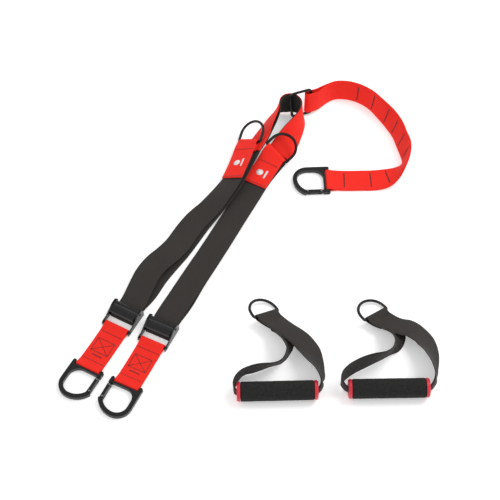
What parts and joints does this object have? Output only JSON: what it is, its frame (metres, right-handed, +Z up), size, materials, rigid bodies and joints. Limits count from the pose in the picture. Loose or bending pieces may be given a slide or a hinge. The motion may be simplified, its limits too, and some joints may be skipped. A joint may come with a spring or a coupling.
{
  "type": "suspension strap trainer",
  "caption": "Suspension strap trainer lying loose: anchor strap with carabiner, adjustable straps with cam buckles, and foam-gripped handles on D-rings.",
  "frame": {"origin": "middle of the footprint, on the plane the set lies on", "axes": "+Z up, +Y from the handles towards the anchor ring, along the longest extent, +X to the right"},
  "size_m": [0.538, 0.5898, 0.0501],
  "materials": {
    "black_metal": "gloss",
    "bright_steel": "satin",
    "red_webbing": "matte",
    "black_webbing": "matte",
    "grip_foam": "matte",
    "red_cap": "gloss",
    "tube_plastic": "matte"
  },
  "bodies": {
    "set": {"main_webbing": "black_webbing", "yoke_cover": "red_webbing", "left_pull_tab": "red_webbing", "right_pull_tab": "red_webbing", "anchor_strap": "red_webbing", "anchor_ring": "black_metal", "left_end_strap": "red_webbing", "right_end_strap": "red_webbing", "anchor_webbing_pin": "black_metal", "left_buckle_frame": "black_metal", "left_buckle_rear_pin": "black_metal", "left_cam_pin": "black_metal", "left_webbing_pin": "black_metal", "right_buckle_frame": "black_metal", "right_buckle_rear_pin": "black_metal", "right_cam_pin": "black_metal", "right_webbing_pin": "black_metal"},
    "anchor_carabiner": {"anchor_carabiner_body": "black_metal", "anchor_gate_hinge_pin": "bright_steel"},
    "anchor_gate_body": {"anchor_gate": "black_metal", "anchor_gate_latch_pin": "bright_steel", "anchor_gate_spring": "bright_steel"},
    "left_carabiner": {"left_carabiner_body": "black_metal", "left_gate_hinge_pin": "bright_steel"},
    "left_gate_body": {"left_gate": "black_metal", "left_gate_latch_pin": "bright_steel", "left_gate_spring": "bright_steel"},
    "right_carabiner": {"right_carabiner_body": "black_metal", "right_gate_hinge_pin": "bright_steel"},
    "right_gate_body": {"right_gate": "black_metal", "right_gate_latch_pin": "bright_steel", "right_gate_spring": "bright_steel"},
    "left_cam": {"left_cam_lever": "black_metal", "left_cam_spring": "bright_steel"},
    "right_cam": {"right_cam_lever": "black_metal", "right_cam_spring": "bright_steel"},
    "left_pull_ring_body": {"left_pull_ring": "black_metal"},
    "right_pull_ring_body": {"right_pull_ring": "black_metal"},
    "left_handle": {"left_handle_webbing": "black_webbing"},
    "left_handle_ring_body": {"left_handle_ring": "black_metal"},
    "left_grip": {"left_handle_grip_foam": "grip_foam", "left_handle_grip_tube": "tube_plastic", "left_handle_grip_cap_left": "red_cap", "left_handle_grip_cap_right": "red_cap"},
    "right_handle": {"right_handle_webbing": "black_webbing"},
    "right_handle_ring_body": {"right_handle_ring": "black_metal"},
    "right_grip": {"right_handle_grip_foam": "grip_foam", "right_handle_grip_tube": "tube_plastic", "right_handle_grip_cap_left": "red_cap", "right_handle_grip_cap_right": "red_cap"}
  },
  "joints": [
    {"name": "anchor_carabiner_swivel", "type": "hinge", "parent": "set", "child": "anchor_carabiner", "pos_m": [0.1198, 0.11965, 0.00407], "axis": [-0.0401, 0.9992, 0], "range_deg": [0, 90]},
    {"name": "anchor_gate_hinge", "type": "hinge", "parent": "anchor_carabiner", "child": "anchor_gate_body", "pos_m": [0.10938, 0.09751, 0.00407], "axis": [0, 0, -1], "range_deg": [0, 30], "stiffness_Nm_per_rad": 0.05, "springref_deg": -17.19},
    {"name": "left_carabiner_swivel", "type": "hinge", "parent": "set", "child": "left_carabiner", "pos_m": [-0.22924, -0.21542, 0.00407], "axis": [-0.8788, 0.4772, 0], "range_deg": [0, 90]},
    {"name": "left_gate_hinge", "type": "hinge", "parent": "left_carabiner", "child": "left_gate_body", "pos_m": [-0.21557, -0.23571, 0.00407], "axis": [0, 0, -1], "range_deg": [0, 30], "stiffness_Nm_per_rad": 0.05, "springref_deg": -17.19},
    {"name": "right_carabiner_swivel", "type": "hinge", "parent": "set", "child": "right_carabiner", "pos_m": [-0.17326, -0.24296, 0.00407], "axis": [-0.8988, 0.4384, 0], "range_deg": [0, 90]},
    {"name": "right_gate_hinge", "type": "hinge", "parent": "right_carabiner", "child": "right_gate_body", "pos_m": [-0.19771, -0.2436, 0.00407], "axis": [0, 0, 1], "range_deg": [0, 30], "stiffness_Nm_per_rad": 0.05, "springref_deg": -17.19},
    {"name": "left_cam_press", "type": "hinge", "parent": "set", "child": "left_cam", "pos_m": [-0.17866, -0.12227, 0.01282], "axis": [0.8788, -0.4772, 0], "range_deg": [0, 20], "stiffness_Nm_per_rad": 0.1, "springref_deg": -17.19},
    {"name": "right_cam_press", "type": "hinge", "parent": "set", "child": "right_cam", "pos_m": [-0.12679, -0.14769, 0.01282], "axis": [0.8988, -0.4384, 0], "range_deg": [0, 20], "stiffness_Nm_per_rad": 0.1, "springref_deg": -17.19},
    {"name": "left_pull_ring_swivel", "type": "hinge", "parent": "set", "child": "left_pull_ring_body", "pos_m": [-0.0013, 0.18845, 0.01497], "axis": [0.7689, -0.3994, 0.4993], "range_deg": [0, 45]},
    {"name": "right_pull_ring_swivel", "type": "hinge", "parent": "set", "child": "right_pull_ring_body", "pos_m": [0.04, 0.16525, 0.01417], "axis": [0.6779, -0.6879, -0.2592], "range_deg": [0, 18]},
    {"name": "left_handle_lift", "type": "slide", "parent": "set", "child": "left_handle", "axis": [0, 0, 1], "range_m": [0, 0.3]},
    {"name": "left_handle_ring_swivel", "type": "hinge", "parent": "left_handle", "child": "left_handle_ring_body", "pos_m": [0.0235, -0.13025, 0.01057], "axis": [0.7913, 0.5009, -0.3506], "range_deg": [0, 45]},
    {"name": "left_grip_spin", "type": "hinge", "parent": "left_handle", "child": "left_grip", "pos_m": [0.0375, -0.25855, 0.01462], "axis": [0.9997, 0.0262, 0], "continuous": true},
    {"name": "right_handle_lift", "type": "slide", "parent": "set", "child": "right_handle", "axis": [0, 0, 1], "range_m": [0, 0.3]},
    {"name": "right_handle_ring_swivel", "type": "hinge", "parent": "right_handle", "child": "right_handle_ring_body", "pos_m": [0.182, -0.13025, 0.00937], "axis": [0.7695, 0.5996, -0.2199], "range_deg": [0, 45]},
    {"name": "right_grip_spin", "type": "hinge", "parent": "right_handle", "child": "right_grip", "pos_m": [0.1928, -0.25455, 0.01462], "axis": [0.9998, 0.0175, 0], "continuous": true}
  ]
}
